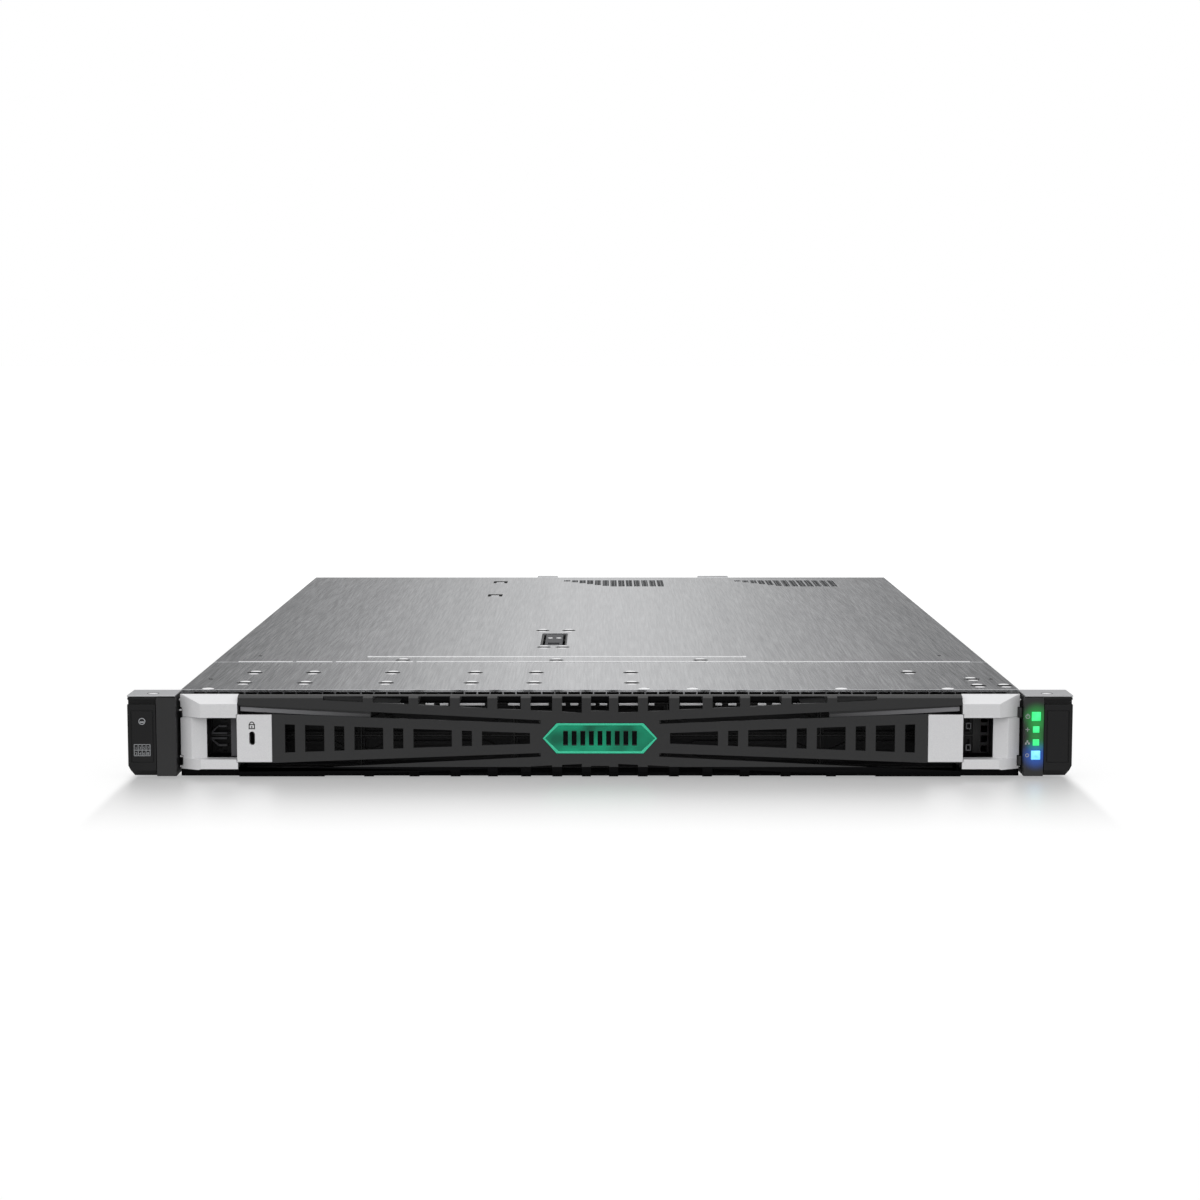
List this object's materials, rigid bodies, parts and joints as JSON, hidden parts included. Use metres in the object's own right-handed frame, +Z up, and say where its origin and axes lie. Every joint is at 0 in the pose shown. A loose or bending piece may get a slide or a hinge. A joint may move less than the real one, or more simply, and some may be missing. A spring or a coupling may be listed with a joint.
{
  "type": "1U rack server",
  "caption": "Low flat rack server with a swinging grille bezel, rack ears with release levers, sliding steel hood, fans, drives and hot-plug power supplies.",
  "frame": {"origin": "middle of the bounding box's bottom, under the tray", "axes": "+X to the right seen from the front, the front faces -Y, +Z up"},
  "size_m": [0.4826, 0.6508, 0.0434],
  "materials": {
    "cover_steel": "zinc-coated steel, brushed along its depth",
    "tray_steel": "zinc-coated steel sheet",
    "cage_steel": "black powder-coated steel sheet",
    "supply_steel": "nickel-plated steel",
    "black_plastic": "moulded, fine texture",
    "drive_plastic": "moulded, satin",
    "silver_plastic": "metallic painted, satin",
    "green_enamel": "translucent metallic coating",
    "lock_brass": "blackened",
    "latch_grey": "moulded",
    "release_blue": "moulded",
    "fan_plastic": "moulded",
    "circuit_board": "solder mask",
    "fin_aluminium": "stamped fins",
    "socket_steel": "nickel-plated shells",
    "green_lens": "light pipe, lit",
    "blue_lens": "light pipe, lit"
  },
  "bodies": {
    "chassis": {"air_baffle": "black_plastic", "chassis_tray": "tray_steel", "drive_backplane": "circuit_board", "drive_cage": "cage_steel", "drive_carrier_1": "drive_plastic", "drive_carrier_10": "drive_plastic", "drive_carrier_2": "drive_plastic", "drive_carrier_3": "drive_plastic", "drive_carrier_4": "drive_plastic", "drive_carrier_5": "drive_plastic", "drive_carrier_6": "drive_plastic", "drive_carrier_7": "drive_plastic", "drive_carrier_8": "drive_plastic", "drive_carrier_9": "drive_plastic", "ear_bracket_left": "tray_steel", "ear_bracket_right": "tray_steel", "ear_cover_left": "black_plastic", "ear_cover_right": "black_plastic", "fan_housings": "fan_plastic", "front_panel_board": "circuit_board", "front_top_panel": "cover_steel", "heatsink_left": "fin_aluminium", "heatsink_right": "fin_aluminium", "lever_pins": "tray_steel", "memory_modules": "circuit_board", "network_module": "socket_steel", "power_backplane": "circuit_board", "rear_connectors": "socket_steel", "rear_panel": "tray_steel", "riser_cages": "tray_steel", "side_studs": "tray_steel", "slot_blanks": "tray_steel", "status_lenses": "green_lens", "system_board": "circuit_board"},
    "bezel": {"bezel_frame": "black_plastic", "bezel_bracket_left": "silver_plastic", "bezel_bracket_right": "silver_plastic", "bezel_plate_left": "silver_plastic", "bezel_plate_right": "silver_plastic", "bezel_insert": "green_enamel"},
    "lock": {"lock_barrel": "lock_brass"},
    "hood": {"hood": "cover_steel", "hood_latch_tub": "black_plastic"},
    "hood_latch": {"hood_latch_lever": "latch_grey"},
    "power_key": {"power_button": "green_lens"},
    "unit_key": {"unit_button": "blue_lens"},
    "lever_left": {"ear_lever_left": "black_plastic"},
    "lever_right": {"ear_lever_right": "black_plastic"},
    "fan_1": {"fan_rotor_1": "fan_plastic"},
    "fan_2": {"fan_rotor_2": "fan_plastic"},
    "fan_3": {"fan_rotor_3": "fan_plastic"},
    "fan_4": {"fan_rotor_4": "fan_plastic"},
    "fan_5": {"fan_rotor_5": "fan_plastic"},
    "fan_6": {"fan_rotor_6": "fan_plastic"},
    "supply_1": {"power_supply_1": "supply_steel", "supply_handle_1": "black_plastic"},
    "supply_1_release": {"supply_latch_1": "release_blue"},
    "supply_2": {"power_supply_2": "supply_steel", "supply_handle_2": "black_plastic"},
    "supply_2_release": {"supply_latch_2": "release_blue"}
  },
  "joints": [
    {"name": "bezel_swing", "type": "hinge", "parent": "chassis", "child": "bezel", "pos_m": [0.21575, -0.3194, 0.0209], "axis": [0, 0, 1], "range_deg": [0, 28]},
    {"name": "lock_turn", "type": "hinge", "parent": "bezel", "child": "lock", "pos_m": [-0.17765, -0.3174, 0.0209], "axis": [0, -1, 0], "range_deg": [0, 90]},
    {"name": "hood_slide", "type": "slide", "parent": "chassis", "child": "hood", "axis": [0, 1, 0], "range_m": [0, 0.012]},
    {"name": "hood_latch_turn", "type": "hinge", "parent": "hood", "child": "hood_latch", "pos_m": [-0.0277, -0.0644, 0.0384], "axis": [-1, 0, 0], "range_deg": [0, 75]},
    {"name": "power_press", "type": "slide", "parent": "chassis", "child": "power_key", "axis": [0, 1, 0], "range_m": [0, 0.001], "stiffness_N_per_m": 400},
    {"name": "unit_press", "type": "slide", "parent": "chassis", "child": "unit_key", "axis": [0, 1, 0], "range_m": [0, 0.001], "stiffness_N_per_m": 400},
    {"name": "lever_left_turn", "type": "hinge", "parent": "chassis", "child": "lever_left", "pos_m": [-0.234, -0.3194, 0.0074], "axis": [1, 0, 0], "range_deg": [0, 80]},
    {"name": "lever_right_turn", "type": "hinge", "parent": "chassis", "child": "lever_right", "pos_m": [0.234, -0.3194, 0.0074], "axis": [1, 0, 0], "range_deg": [0, 80]},
    {"name": "fan_1_spin", "type": "hinge", "parent": "chassis", "child": "fan_1", "pos_m": [-0.155, -0.1514, 0.0215], "axis": [0, 1, 0], "continuous": true},
    {"name": "fan_2_spin", "type": "hinge", "parent": "chassis", "child": "fan_2", "pos_m": [-0.093, -0.1514, 0.0215], "axis": [0, 1, 0], "continuous": true},
    {"name": "fan_3_spin", "type": "hinge", "parent": "chassis", "child": "fan_3", "pos_m": [-0.031, -0.1514, 0.0215], "axis": [0, 1, 0], "continuous": true},
    {"name": "fan_4_spin", "type": "hinge", "parent": "chassis", "child": "fan_4", "pos_m": [0.031, -0.1514, 0.0215], "axis": [0, 1, 0], "continuous": true},
    {"name": "fan_5_spin", "type": "hinge", "parent": "chassis", "child": "fan_5", "pos_m": [0.093, -0.1514, 0.0215], "axis": [0, 1, 0], "continuous": true},
    {"name": "fan_6_spin", "type": "hinge", "parent": "chassis", "child": "fan_6", "pos_m": [0.155, -0.1514, 0.0215], "axis": [0, 1, 0], "continuous": true},
    {"name": "supply_1_slide", "type": "slide", "parent": "chassis", "child": "supply_1", "axis": [0, 1, 0], "range_m": [0, 0.185]},
    {"name": "supply_1_release_turn", "type": "hinge", "parent": "supply_1", "child": "supply_1_release", "pos_m": [-0.1357, 0.2944, 0.02], "axis": [0, 0, 1], "range_deg": [0, 12], "stiffness_Nm_per_rad": 0.05},
    {"name": "supply_2_slide", "type": "slide", "parent": "chassis", "child": "supply_2", "axis": [0, 1, 0], "range_m": [0, 0.185]},
    {"name": "supply_2_release_turn", "type": "hinge", "parent": "supply_2", "child": "supply_2_release", "pos_m": [-0.0489, 0.2944, 0.02], "axis": [0, 0, 1], "range_deg": [0, 12], "stiffness_Nm_per_rad": 0.05}
  ],
  "couplings": [
    {"joint": "hood_latch_turn", "follows": "hood_slide", "rad_per_m": 109}
  ]
}
